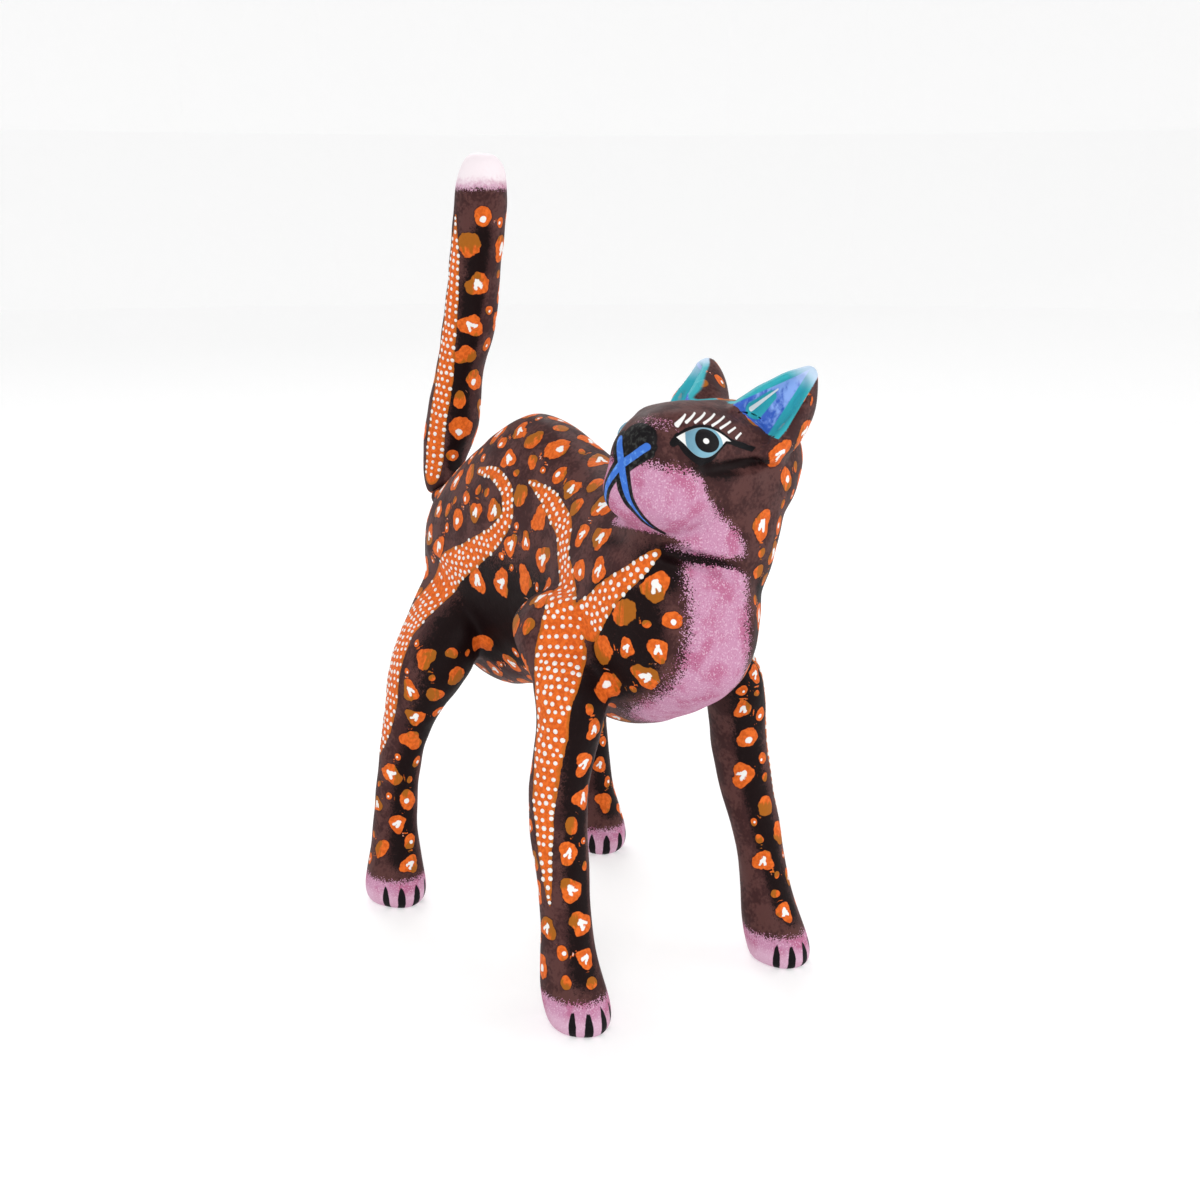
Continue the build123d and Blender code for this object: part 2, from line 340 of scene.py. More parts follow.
class Band:
    """A painted band: closely spaced places on the skin with the half width at each."""

    def __init__(self, path, side, skin):
        path = np.array(path, float) * (side, 1, 1, 1)
        length = np.concatenate([[0], np.cumsum(np.linalg.norm(np.diff(path[:, :3], axis=0), axis=1))])
        at = np.arange(0, length[-1], 0.5)
        middle = np.column_stack([np.interp(at, length, path[:, i]) for i in range(3)])
        self.half = np.interp(at, length, path[:, 3])
        middle = np.array([skin.points[skin.tree.find(place)[1]] for place in middle])
        padded = np.concatenate([np.repeat(middle[:1], 5, 0), middle, np.repeat(middle[-1:], 5, 0)])
        even = np.ones(11) / 11
        self.middle = np.column_stack([np.convolve(padded[:, i], even, "valid") for i in range(3)])
        self.normals = skin.normals(self.middle)
        self.skin = skin

    def dots(self):
        """Where the white dots stand: rows across the band, every second row moved half a step."""
        ahead = np.gradient(self.middle, axis=0)
        ahead /= np.linalg.norm(ahead, axis=1)[:, None]
        across = np.cross(self.normals, ahead)
        places = []
        for row, i in enumerate(range(2, len(self.middle) - 1, 4)):
            half = self.half[i] - 0.45
            if half < 0.9:
                offsets = [0.0] if half > -0.1 else []
            else:
                offsets = np.linspace(-half, half, 2 + int((2 * half - 1.4) / 1.95))
            if row % 2 and len(offsets) > 3:
                offsets = [(p + q) / 2 for p, q in zip(offsets[:-1], offsets[1:])]
            places += [self.middle[i] + offset * across[i] for offset in offsets]
        places = np.array([self.skin.points[self.skin.tree.find(place)[1]] for place in places])
        keep = []
        for i, place in enumerate(places):
            if all(np.linalg.norm(places[j] - place) > 1.35 for j in keep[-14:]):
                keep.append(i)
        return places[keep]


def tree_of(points):
    tree = KDTree(len(points))
    for i, place in enumerate(points):
        tree.insert(place, i)
    tree.balance()
    return tree


def from_band(points, bands):
    """Distance to the nearest band's edge: to the nearest place of its middle, less the half width."""
    middles = np.concatenate([band.middle for band in bands])
    halves = np.concatenate([band.half for band in bands])
    tree = tree_of(middles)
    found = [tree.find(place)[1:] for place in points]
    index = np.array([each[0] for each in found])
    return np.array([each[1] for each in found]) - halves[index]


def ramp(value, low, high):
    """0 below low, 1 above high, and straight between."""
    return np.clip((value - low) / (high - low), 0, 1)


def head_places(points):
    """Millimetres ahead, to the left and up from the head's middle; far off the head, well behind it."""
    reach = points - HEAD
    ahead, left, up = reach @ AHEAD, reach @ LEFT, reach @ UP
    return np.where(np.abs(left) < 17.5, ahead, -40.0), left, up


def pink_share(points):
    """How thick the pink sponging lies: chest panel, muzzle and cheeks, paws and the tail's tip."""
    x, y, z = points.T
    a, b, c = head_places(points)
    width = np.interp(z, [66, 80, 95, 112], [12.0, 10.5, 9.0, 8.0])
    chest = 1 - np.abs(x + 3.5) / width
    chest = ramp(chest, -0.22, 0.50) * ramp(-y, 36, 52) * ramp(-c, 17.5, 20.5) * (z < 118) * (z > 58)
    top = np.interp(a, [-2, 4, 10, 16, 18, 20, 30], [-17, -11.5, -8, -4, -0.5, 0.8, 1.5])
    cheek = ramp(top - c, -2.8, 3.0) * ramp(a, -3, 6) * ramp(c, -18.5, -15.0)
    beside = np.maximum(ramp(b, -11, -8), ramp(a, 10, 13))
    cheek = cheek * (1 - ramp(-c, 7, 10) * (1 - beside))
    bridge = 0.40 * ramp(a, 20, 24) * ramp(c, 7.5, 9.0) * ramp(-c, -13.0, -11.0) * ramp(b, -4, 1)
    chin = ramp(c, -14.5, -12.5) + ramp(-a, -17, -12) * ramp(b, -3, 0)
    head = np.maximum(cheek * np.clip(chin, 0, 1), bridge)
    paw = ramp(-z, -10.5, -6.5)
    tip = ramp(z, 191.5, 195.0)
    return np.maximum.reduce([chest, head, paw, tip])


def leg_axis(z, side, front):
    """The middle of a leg at each height."""
    if front:
        out = np.interp(z, [0, 8, 80], [30.75, 30.75, 21.5])
        along = np.interp(z, [0, 8, 36, 58, 80], [-52.2, -51.0, -43.8, -39.9, -38.4])
        return side * out + np.interp(z, [0, 80], [0.9, -1.4]), along
    out = np.interp(z, [0, 6, 38, 76], [34.0, 34.0, 31.2, 20.0])
    along = np.interp(z, [0, 6, 22, 38, 55, 76], [35.6, 35.6, 36.9, 36.7, 34.4, 31.9])
    return side * out, along


def claw_level(points):
    """Distance inside a black claw stroke's edge: four strokes round the front of every paw."""
    x, y, z = points.T
    level = np.full(len(points), 5.0)
    for side in (-1, 1):
        for front in (True, False):
            middle_x, middle_y = leg_axis(z * 0, side, front)
            turn = np.arctan2(x - middle_x, middle_y - y)
            near = np.hypot(x - middle_x, y - middle_y) < 14
            for angle in (-0.80, -0.30, 0.20, 0.68):
                width = 1.0 * np.clip(1 - (z / 7.4) ** 4, -1, 1)
                level = np.where(near, np.minimum(level, np.abs(turn - angle) * 8.0 - width), level)
    return np.where(z < 14, level, 5.0)


def dark_share(points):
    """How dark the brown is: sponged dark paint down the legs' fronts and the tail, and painted shade under
    the jaw, in the crease below it, in the groove under the eyes and on the flanks' waist; darker also
    beside the chest panel.
    """
    x, y, z = points.T
    a, b, c = head_places(points)
    # Painted shade under the jaw, at the throat.
    throat_shade = np.exp(-(((z - 110) / 7) ** 2) - ((np.abs(x) - 13) / 7) ** 2 - ((y + 60) / 9) ** 2)
    # Painted shade low on the flanks, in the waist between shoulder and haunch.
    flank_shade = ramp(-z, -112, -92) * ramp(z, 62, 72) * ramp(y, -30, -18) * ramp(-y, -34, -20)
    flank_shade = flank_shade * ramp(np.abs(x), 6, 12)
    breast = ramp(-z, -112, -104) * ramp(z, 70, 78) * ramp(-y, 40, 46) * ramp(np.abs(x + 3.5), 9, 13)
    dark = np.maximum.reduce([throat_shade, 0.95 * flank_shade, 0.8 * breast])
    # Sponged dark paint down each leg's front.
    for side in (-1, 1):
        for front in (True, False):
            middle_x, middle_y = leg_axis(z, side, front)
            turn = np.arctan2((x - middle_x) * side, middle_y - y)
            stripe = np.exp(-(((turn - 0.15) / 0.75) ** 2)) * (z < 82) * ramp(z, 8, 14)
            stripe = stripe * (np.hypot(x - middle_x, y - middle_y) < 16)
            dark = np.maximum(dark, 0.95 * stripe)
    # Sponged dark paint down the tail.
    tail = (z > 100) * (y > 40) * ramp(z, 108, 116) * ramp(-z, -192, -180)
    tail = tail * np.exp(-(((x - 1.0) / 3.2) ** 2)) * (y < np.interp(z, [112, 202], [64, 46]))
    # Painted shade in the carved groove under each eye and along the cheek ledge.
    eye_groove_shade = np.exp(-(((a - 15) / 8) ** 2) - ((c - 2.0) / 2.6) ** 2) * 0.9 * (np.abs(b) > 5)
    ledge_groove_shade = np.exp(-(((a - 8) / 9) ** 2) - ((c - 6.0 + 0.21 * (a + 1)) / 1.6) ** 2) * (np.abs(b) > 9)
    # Painted shade along the crease under the jaw.
    jaw = np.exp(-(((a - 8) / 9) ** 2) - ((c + 20.4 - 0.2 * a) / 2.4) ** 2) * (a > -20)
    return np.clip(np.maximum.reduce([dark, tail, eye_groove_shade, ledge_groove_shade, jaw]), 0, 1)


def spots_allowed(points, bands):
    """Where spots may stand: off the bands, the pink, the face, the soles and the legs' inner sides."""
    x, y, z = points.T
    a, _, c = head_places(points)
    face = ((a > 0.5) & (z > 108)) | ((a > -7) & (np.abs(c - 3) < 10))
    plain = (x < -8) & (np.abs(y - 13) < 18) & (np.abs(z - 84) < 8)
    ok = (from_band(points, bands) > 1.5 + 0.9) & (pink_share(points) < 0.12) & ~face & ~plain
    ok &= (z > 12) & (z < 188)
    for side in (-1, 1):
        for front in (True, False):
            middle_x, middle_y = leg_axis(z, side, front)
            inner = ((x - middle_x) * side < -1.5) & (z < 72) & (np.hypot(x - middle_x, y - middle_y) < 15)
            ok &= ~inner
    return ok


def scatter_spots(points, normals, bands):
    """Spots in three sizes, largest first, each as far from the rest as its size asks."""
    order = SPOT_RNG.permutation(len(points))[:24000]
    order = order[spots_allowed(points[order], bands)]
    places, facing, sizes = np.zeros((0, 3)), np.zeros((0, 3)), np.zeros(0)
    for size, gap, tries in ((3.5, 1.2, 5000), (2.3, 1.1, 9000), (1.4, 1.1, 14000)):
        for index in order[:tries]:
            here = points[index]
            leg = here[2] < 78
            grown = size * (0.86 if leg else 1.0) * (1 + 0.14 * np.sin(index * 12.9898))
            if len(sizes):
                away = np.linalg.norm(places - here, axis=1) - sizes - grown - gap
                if away.min() < 0:
                    continue
            places = np.vstack([places, here])
            facing = np.vstack([facing, normals[index]])
            sizes = np.append(sizes, grown)
    return places, facing, sizes


def across(normals, turn):
    """Two directions in each surface, turned about the normal from level and upright."""
    level = np.cross((0.0, 0.0, 1.0), normals) + 1e-6
    level /= np.linalg.norm(level, axis=1)[:, None]
    upright = np.cross(normals, level)
    c, s = np.cos(turn)[:, None], np.sin(turn)[:, None]
    return level * c + upright * s, upright * c - level * s


class Spots:
    """The painted spots, and the layers that tell a surface where in which spot it lies."""

    def __init__(self, points, normals, bands):
        self.places, facing, self.sizes = scatter_spots(points, normals, bands)
        self.tree = tree_of(self.places)
        count = len(self.sizes)
        self.turn = SPOT_RNG.uniform(-1.0, 1.0, count)
        self.first, self.second = across(facing, self.turn)
        chance = SPOT_RNG.random(count)
        small, middling = self.sizes < 1.7, (self.sizes >= 1.7) & (self.sizes < 2.5)
        self.kind = np.where(small, np.where(chance < 0.8, 0.0, 1.0), np.where(chance < 0.3, 0.0, 1.0))
        self.kind = np.where(~small & ~middling, np.where(chance < 0.70, 2.0, 1.0), self.kind)
        self.chance = SPOT_RNG.random((count, 2))

    def layers(self, points):
        nearest = np.zeros(len(points), int)
        edge = np.full(len(points), 99.0)
        for i, place in enumerate(points):
            for _, index, away in self.tree.find_n(place, 5):
                if away - self.sizes[index] < edge[i]:
                    nearest[i], edge[i] = index, away - self.sizes[index]
        reach = points - self.places[nearest]
        size = self.sizes[nearest]
        u = np.einsum("ij,ij->i", reach, self.first[nearest]) / size
        v = np.einsum("ij,ij->i", reach, self.second[nearest]) / size
        mood = np.column_stack([self.kind[nearest], self.chance[nearest]])
        return {"spot": np.column_stack([u, v, edge]), "mood": mood}


def ear_places(points):
    """Where a place lies on the nearer ear: outwards from its middle, up its height, and to its front."""
    result = np.zeros((len(points), 3))
    for side in (-1, 1):
        root = HEAD - 3.2 * AHEAD + side * 9.0 * LEFT + 13.0 * UP
        axis = 0.82 * UP + 0.34 * side * LEFT - 0.47 * AHEAD
        axis /= np.linalg.norm(axis)
        facing = 0.66 * AHEAD + 0.70 * side * LEFT + 0.28 * UP
        facing -= axis * (facing @ axis)
        facing /= np.linalg.norm(facing)
        outwards = side * np.cross(axis, facing)
        reach = points - root
        near = (reach @ LEFT * side > -10) & (reach @ AHEAD < 12) & (reach @ axis > -6)
        near &= (points - HEAD) @ LEFT * side > 0
        result[near] = np.column_stack([reach @ outwards, reach @ axis, reach @ facing])[near]
    return result


def ear_front(points, normals):
    """1 on the hollowed fronts of the ears, 0 elsewhere, by which way the surface faces."""
    result = np.zeros(len(points))
    for side in (-1, 1):
        facing = 0.66 * AHEAD + 0.70 * side * LEFT + 0.28 * UP
        out, up, _ = ear_places(points).T
        mine = ((points - HEAD) @ LEFT * side > 0) & (up > -1.0) & (np.abs(out) < 9) & (up != 0)
        edge = np.interp(up, [-3.5, 2, 10, 18], [5.4, 5.2, 3.6, 2.0])
        result = np.where(mine, ramp(normals @ facing, 0.0, 0.5) * ramp(edge - out, -0.4, 0.4), result)
    return result


def figure_paint(spots, bands, skin):
    """The paint layers of a piece: spots, and how near its bands, pink, dark paint with painted shade, and
    claws are.
    """

    def paint(points):
        layers = spots.layers(points)
        band = np.minimum(from_band(points, bands), 20)
        layers["areas"] = np.column_stack([band, pink_share(points), dark_share(points)])
        layers["claw"] = claw_level(points)
        if points[:, 2].max() > 120:
            layers["ear"] = ear_places(points)
            layers["ear_front"] = ear_front(points, skin.normals(points))
        return layers

    return paint


# ------------------------------------------------------------------ mixing paint
class Value:
    """A number or colour inside a material. Sums, products and powers of it become nodes."""

    def __init__(self, paint, socket):
        self.paint, self.socket = paint, socket

    def __add__(self, other):
        return self.paint.math("ADD", self, other)

    def __sub__(self, other):
        return self.paint.math("SUBTRACT", self, other)

    def __rsub__(self, other):
        return self.paint.math("SUBTRACT", other, self)

    def __mul__(self, other):
        return self.paint.math("MULTIPLY", self, other)

    def __truediv__(self, other):
        return self.paint.math("DIVIDE", self, other)

    def __rtruediv__(self, other):
        return self.paint.math("DIVIDE", other, self)

    def __pow__(self, other):
        return self.paint.math("POWER", self, other)

    def __neg__(self):
        return self * -1.0

    def __abs__(self):
        return self.paint.math("ABSOLUTE", self)

    __radd__, __rmul__ = __add__, __mul__


class Paint:
    """A finish being mixed: its nodes, and the shader that they end in."""

    def __init__(self, name, roughness, **constants):
        self.material = bpy.data.materials.new(name)
        self.material.use_nodes = True
        self.tree = self.material.node_tree
        self.shader = self.tree.nodes["Principled BSDF"]
        self.shader.inputs["Roughness"].default_value = roughness
        self.shader.inputs["Specular IOR Level"].default_value = 0.08
        for socket, number in constants.items():
            self.shader.inputs[socket.replace("_", " ")].default_value = number
        metres = self.node("ShaderNodeTexCoord", {}, {}, "Object")
        scaling = {0: metres, "Scale": 1000.0}
        self.place = self.node("ShaderNodeVectorMath", {"operation": "SCALE"}, scaling)

    def node(self, kind, settings, sockets, output=0):
        """Adds a node, gives it its settings and then its sockets, and returns one of its outputs."""
        made = self.tree.nodes.new(kind)
        for setting, choice in settings.items():
            setattr(made, setting, choice)
        for socket, value in sockets.items():
            if isinstance(value, Value):
                self.tree.links.new(value.socket, made.inputs[socket])
            else:
                made.inputs[socket].default_value = value
        return Value(self, made.outputs[output])

    def math(self, operation, *values):
        return self.node("ShaderNodeMath", {"operation": operation}, dict(enumerate(values)))

    def least(self, *values):
        result = values[0]
        for value in values[1:]:
            result = self.math("MINIMUM", result, value)
        return result

    def most(self, first, second):
        return self.math("MAXIMUM", first, second)

    def length(self, x, y):
        return self.math("SQRT", x * x + y * y)

    def fade(self, value, start, end):
        """0 at start and 1 at end, smoothly, whichever of the two is greater."""
        if start < end:
            sockets = {0: value, 1: float(start), 2: float(end)}
        else:
            sockets = {0: value * -1.0, 1: float(-start), 2: float(-end)}
        return self.node("ShaderNodeMapRange", {"interpolation_type": "SMOOTHSTEP"}, sockets)

    def mix(self, share, under, over):
        """The under colour with the over colour laid on it by share."""
        colours = [c if isinstance(c, Value) else (*c, 1.0) for c in (under, over)]
        settings = {"data_type": "RGBA"}
        return self.node("ShaderNodeMix", settings, {0: share, 6: colours[0], 7: colours[1]}, 2)

    def noise(self, size, detail=2.0, stretch=None):
        """Cloudy noise about size millimetres across, from 0 to 1."""
        place = self.place
        if stretch:
            place = self.node("ShaderNodeVectorMath", {"operation": "MULTIPLY"}, {0: place, 1: stretch})
        return self.node("ShaderNodeTexNoise", {}, {0: place, 2: 1.0 / size, 3: detail})

    def attribute(self, name, output=1):
        return self.node("ShaderNodeAttribute", {"attribute_name": name}, {}, output)

    def split(self, vector):
        made = self.tree.nodes.new("ShaderNodeSeparateXYZ")
        self.tree.links.new(vector.socket, made.inputs[0])
        return [Value(self, socket) for socket in made.outputs]

    def towards(self, origin, direction):
        """Millimetres from a point along a direction."""
        sockets = {0: self.place, 1: tuple(direction)}
        reach = self.node("ShaderNodeVectorMath", {"operation": "DOT_PRODUCT"}, sockets, "Value")
        return reach - float(np.dot(origin, direction))

    def stroke(self, x, y, start, end, first, last):
        """Distance from the edge of a brush stroke that runs from start to end and tapers."""
        run = (end[0] - start[0], end[1] - start[1])
        size = run[0] ** 2 + run[1] ** 2
        x, y = x - start[0], y - start[1]
        share = self.node("ShaderNodeClamp", {}, {0: x * (run[0] / size) + y * (run[1] / size)})
        return self.length(x - share * run[0], y - share * run[1]) - share * (last - first) - first

    def strokes(self, x, y, points):
        """Distance from a stroke through several points, each given with its half width."""
        parts = [self.stroke(x, y, p[:2], q[:2], p[2], q[2]) for p, q in zip(points[:-1], points[1:])]
        return self.least(*parts)

    def finish(self, colour, height=None, relief=0.1, roughness=None):
        self.tree.links.new(colour.socket, self.shader.inputs["Base Color"])
        if roughness is not None:
            self.tree.links.new(roughness.socket, self.shader.inputs["Roughness"])
        if height is not None:
            sockets = {"Strength": 1.0, "Distance": relief / 1000.0, "Height": height}
            bump = self.node("ShaderNodeBump", {}, sockets)
            self.tree.links.new(bump.socket, self.shader.inputs["Normal"])
        return self.material


BROWN, DARK_BROWN, NEAR_BLACK = (0.090, 0.036, 0.033), (0.044, 0.016, 0.016), (0.008, 0.0028, 0.0030)
ORANGE, DEEP_ORANGE, OCHRE = (0.74, 0.145, 0.019), (0.56, 0.095, 0.011), (0.32, 0.105, 0.009)
WHITE, BLACK = (0.80, 0.80, 0.78), (0.006, 0.005, 0.006)
PINK, ROSE, PALE_PINK = (0.50, 0.24, 0.37), (0.42, 0.13, 0.24), (0.68, 0.46, 0.58)
BLUE, LIGHT_BLUE, TEAL = (0.045, 0.120, 0.500), (0.27, 0.42, 0.83), (0.035, 0.370, 0.430)
EYE_GREY, FACE_BLUE = (0.135, 0.285, 0.375), (0.045, 0.155, 0.560)


def body_colour(p):
    """Brown ground, sponged dark paint with painted shade, spots, bands, pink sponging and claws; returns it
    and how thick it lies.
    """
    fine, speck, cloud = p.noise(0.9), p.noise(0.33, 1.0), p.noise(7.0)
    band, pink, dark = p.split(p.attribute("areas"))
    colour = p.mix(p.fade(cloud + (fine - 0.5) * 0.6, 0.38, 0.62), DARK_BROWN, BROWN)
    # Near-black by the darkening layer: sponged dark paint on the legs and tail, painted shade under the
    # jaw, in the creases and on the flanks.
    wash_and_shade = p.fade(dark + (fine - 0.5) * 0.7 + (speck - 0.5) * 0.5, 0.30, 0.72)
    colour = p.mix(wash_and_shade, colour, NEAR_BLACK)

    u, v, edge = p.split(p.attribute("spot"))
    kind, turn, chance = p.split(p.attribute("mood"))
    wobble = p.noise(2.2) - 0.5
    large = p.fade(kind, 1.3, 1.7)
    angle = p.math("ARCTAN2", v, u)
    lobes = p.math("COSINE", angle * 3.0 + turn * 6.28) * (large * 0.10 + 0.03)
    lobes = lobes + p.math("COSINE", angle * 2.0 + chance * 6.28) * 0.10
    far = p.length(u * 1.10, v) + wobble * 0.55 - lobes
    spot = p.fade(far, 0.93, 0.86) * p.fade(edge, 0.55, 0.35)
    streak = p.noise(1.1, 2.0, (1.0, 1.0, 0.28)) - 0.5
    shade = u * p.math("COSINE", turn * 6.28) + v * p.math("SINE", turn * 6.28)
    ochre = p.fade(shade + streak * 2.6 + (chance - 0.5) * 1.5 - large * 0.35, 0.0, 0.55)
    orange = p.mix(p.fade(fine, 0.35, 0.65), DEEP_ORANGE, ORANGE)
    fill = p.mix(ochre * 0.92, orange, OCHRE)
    colour = p.mix(p.fade(far, 1.02, 0.93) * p.fade(edge, 0.55, 0.35) * 0.5, colour, NEAR_BLACK)
    colour = p.mix(spot, colour, fill)
    heart = p.stroke(abs(u + wobble * 0.35), v, (0.02, 0.26), (0.22, -0.26), 0.17, 0.13)
    heart = heart + (p.noise(0.8) - 0.5) * 0.30 + (1.0 - large) * 9.0 + p.fade(turn, 0.86, 0.87) * 9.0
    dot_at = p.length(u - (turn - 0.5) * 0.6, v - (chance - 0.5) * 0.5)
    oval = dot_at + wobble * 0.3 - 0.26 + p.fade(chance, 0.50, 0.51) * 9.0 + large * 9.0
    white = p.fade(p.least(heart, oval) + wobble * 0.14, 0.03, -0.03) * spot
    colour = p.mix(white, colour, WHITE)

    edge_of_band = band + wobble * 0.7
    banded = p.fade(edge_of_band, 0.06, -0.06)
    rim = p.fade(edge_of_band + streak * 1.6, -1.1, -0.2)
    colour = p.mix(banded, colour, p.mix(rim * 0.65, orange, OCHRE))

    spread = p.fade(speck * 0.75 + fine * 0.25 + (pink - 0.5) * 0.62, 0.47, 0.53)
    blush = p.mix(p.fade(p.noise(5.5), 0.42, 0.62), PINK, ROSE)
    blush = p.mix(p.fade(p.noise(0.38, 1.0), 0.52, 0.70) * 0.7, blush, PALE_PINK)
    blush = p.mix(p.fade(p.noise(0.42, 1.0), 0.42, 0.30) * 0.5, blush, ROSE)
    colour = p.mix(spread, colour, blush)
    height = p.split(p.place)[2]
    colour = p.mix(p.fade(height, 6.5, 3.5) * 0.55, colour, PALE_PINK)
    # Painted highlight on the tail's very tip: its pale pink paint brightened to near white.
    colour = p.mix(p.fade(height + (fine - 0.5) * 3.0, 192.5, 197.0), colour, (0.80, 0.72, 0.75))
    claw = p.fade(p.attribute("claw", 2) + wobble * 0.5, 0.10, -0.10)
    colour = p.mix(claw, colour, BLACK)
    thick = spot * 0.5 + banded * 0.5 + white * 0.4 + spread * 0.3 + fine * 0.35
    return colour, thick


def body_finish():
    """Matte acrylic on sanded copal wood."""
    p = Paint("painted_body", 0.55)
    colour, thick = body_colour(p)
    return p.finish(colour, thick, 0.16, 0.66 - p.noise(3.0) * 0.22)


LASHES = [
    (-6.4, 2.5, -3.9, 5.1, 0.50), (-4.2, 3.4, -1.2, 5.8, 0.32), (-2.0, 3.7, 1.6, 6.2, 0.30),
    (0.2, 3.8, 4.2, 6.3, 0.28), (2.3, 3.6, 6.6, 6.1, 0.27), (4.4, 3.3, 8.6, 5.7, 0.26),
    (6.5, 2.7, 10.3, 5.1, 0.25), (8.5, 1.7, 11.4, 4.2, 0.28),
]
X_MARK = [
    [(-4.0, 5.6, 0.92), (-2.1, 0.4, 0.95)],
    [(4.2, 4.7, 0.85), (-1.9, 0.4, 0.95)],
    [(-2.1, 0.4, 0.95), (-6.2, -4.6, 0.80), (-8.6, -9.5, 0.25)],
    [(-2.1, 0.4, 0.95), (-0.6, -3.4, 0.85), (0.4, -7.0, 0.70), (3.4, -12.2, 0.10)],
]


def face_finish():
    """The painted face over the body's paint: eyes, lashes, nose and mouth, in the head's directions."""
    p = Paint("painted_face", 0.52)
    colour, thick = body_colour(p)
    ahead, left, up = (p.towards(HEAD, way) for way in (AHEAD, LEFT, UP))
    side = abs(left)
    back = (ahead - 17.0) * -0.943 + (side - 10.0) * 0.332
    rise = up - 7.8
    wobble = (p.noise(1.6) - 0.5) * 0.5
    lid = back * 0.066 + 0.35
    upper = rise - lid - (1.0 - (back / 6.9) ** 2.0) * 2.5
    lower = lid - rise - p.math("POWER", p.most(1.0 - ((back + 0.7) / 6.3) ** 2.0, 0.0), 1.25) * 3.9
    opening = p.most(p.most(upper, lower), abs(back) - 6.9)
    on_side = p.fade(side, 4.5, 5.5) * p.fade(ahead, 2.0, 3.0)
    liner = opening - 0.62 - p.fade(rise, 0.5, -3.0) * p.fade(back, 4.5, -1.0) * 1.1
    tail = p.strokes(back, rise, [(6.0, 0.9, 0.6), (11.5, 0.1, 0.75), (16.5, -0.6, 0.2)])
    corner = p.stroke(back, rise, (-6.2, -0.2), (-7.8, -1.6), 1.2, 0.7)
    black = p.fade(p.least(liner, tail, corner) + wobble, 0.12, -0.12) * on_side
    colour = p.mix(black, colour, BLACK)
    opened = p.fade(opening, 0.07, -0.07) * on_side
    colour = p.mix(opened, colour, WHITE)
    iris = p.fade(p.length((back + 0.4) * 0.80, (rise + 0.2) * 1.10), 4.08, 3.94) * opened
    pupil = p.fade(p.length(back * 0.80, (rise - 0.1) * 1.15), 2.92, 2.78) * opened
    grey = p.mix(p.fade(back + p.noise(0.7) * 2.0, -4.5, 1.5), EYE_GREY, (0.20, 0.40, 0.50))
    colour = p.mix(iris, colour, grey)
    colour = p.mix(pupil, colour, BLACK)
    glint = p.fade(p.length((back + 0.6) * 0.80, (rise - 0.0) * 1.19), 0.78, 0.62)
    colour = p.mix(glint * opened, colour, WHITE)
    lashes = p.least(*[p.stroke(back, rise, lash[:2], lash[2:4], lash[4], 0.14) for lash in LASHES])
    lash = p.fade(lashes, 0.08, -0.06) * on_side
    colour = p.mix(lash, colour, WHITE)

    front = p.fade(ahead, 14.0, 15.0)
    pad = p.length((left - 1.3) / 4.6, (up - 6.0) / 3.7) * 3.7 - 3.7
    fill = p.stroke(left, up, (0.9, 4.6), (-1.5, 1.6), 3.0, 0.8)
    mark = p.least(*[p.strokes(left, up, points) for points in X_MARK])
    lip = p.strokes(left, up, [(-2.9, -1.8, 0.5), (-1.6, -5.0, 0.75), (-0.3, -8.2, 0.7), (3.9, -12.4, 0.2)])
    under_arm = p.stroke(left, up, (4.9, 3.4), (-0.4, -0.8), 1.1, 0.7)
    outline = p.least(pad, fill, mark - 1.15, lip, under_arm)
    nose = p.mix(p.fade(p.noise(0.9), 0.45, 0.7), BLACK, (0.035, 0.036, 0.034))
    colour = p.mix(p.fade(outline + wobble * 0.5, 0.12, -0.12) * front, colour, nose)
    blue = p.fade(mark + wobble * 0.4, 0.08, -0.08) * front
    colour = p.mix(blue, colour, p.mix(p.fade(p.noise(1.3), 0.5, 0.75), FACE_BLUE, (0.13, 0.32, 0.75)))
    thick = thick + (opened + black + lash + blue) * 0.5
    return p.finish(colour, thick, 0.14, 0.62 - p.noise(3.0) * 0.22)


def ear_finish():
    """Brown backs with spots, and blue hollows with teal borders and a white stroke, paled toward the tips
    by a painted highlight.
    """
    p = Paint("painted_ears", 0.5)
    colour, thick = body_colour(p)
    out, height, _ = p.split(p.attribute("ear"))
    front = p.fade(p.attribute("ear_front", 2), 0.35, 0.65)
    edge = 5.3 - (height + 2.0) * 0.17
    fine = p.noise(1.5, 3.0, (1.0, 1.0, 0.5))
    # Light-blue streaks of brushwork in the blue, more of them toward the tip as a painted highlight.
    hollow = p.mix(p.fade(fine + height * 0.022, 0.50, 0.78), BLUE, LIGHT_BLUE)
    hollow = p.mix(p.fade(out - edge, -2.5, -2.2), hollow, TEAL)
    hollow = p.mix(p.fade(out + 7.2 - height * 0.40, 0.25, -0.05), hollow, TEAL)
    patch = p.strokes(out, height, [(-3.2, 1.6, 2.0), (-2.6, 7.0, 1.1)])
    hollow = p.mix(p.fade(patch, 0.15, -0.15), hollow, TEAL)
    stroke = p.strokes(out, height, [(-4.0, 1.4, 0.50), (-2.6, 9.0, 0.14)])
    hollow = p.mix(p.fade(stroke, 0.08, -0.08), hollow, WHITE)
    # Painted highlight: the hollow paled toward the ear's tip.
    hollow = p.mix(p.fade(height, 12.0, 17.0) * 0.75, hollow, (0.62, 0.68, 0.85))
    colour = p.mix(front, colour, hollow)
    return p.finish(colour, thick, 0.14, 0.58 - p.noise(3.0) * 0.2)


def dot_finish():
    """Small drops of white paint."""
    p = Paint("white_drops", 0.45)
    return p.finish(p.mix(p.fade(p.noise(0.5), 0.4, 0.7), WHITE, (0.70, 0.67, 0.62)))


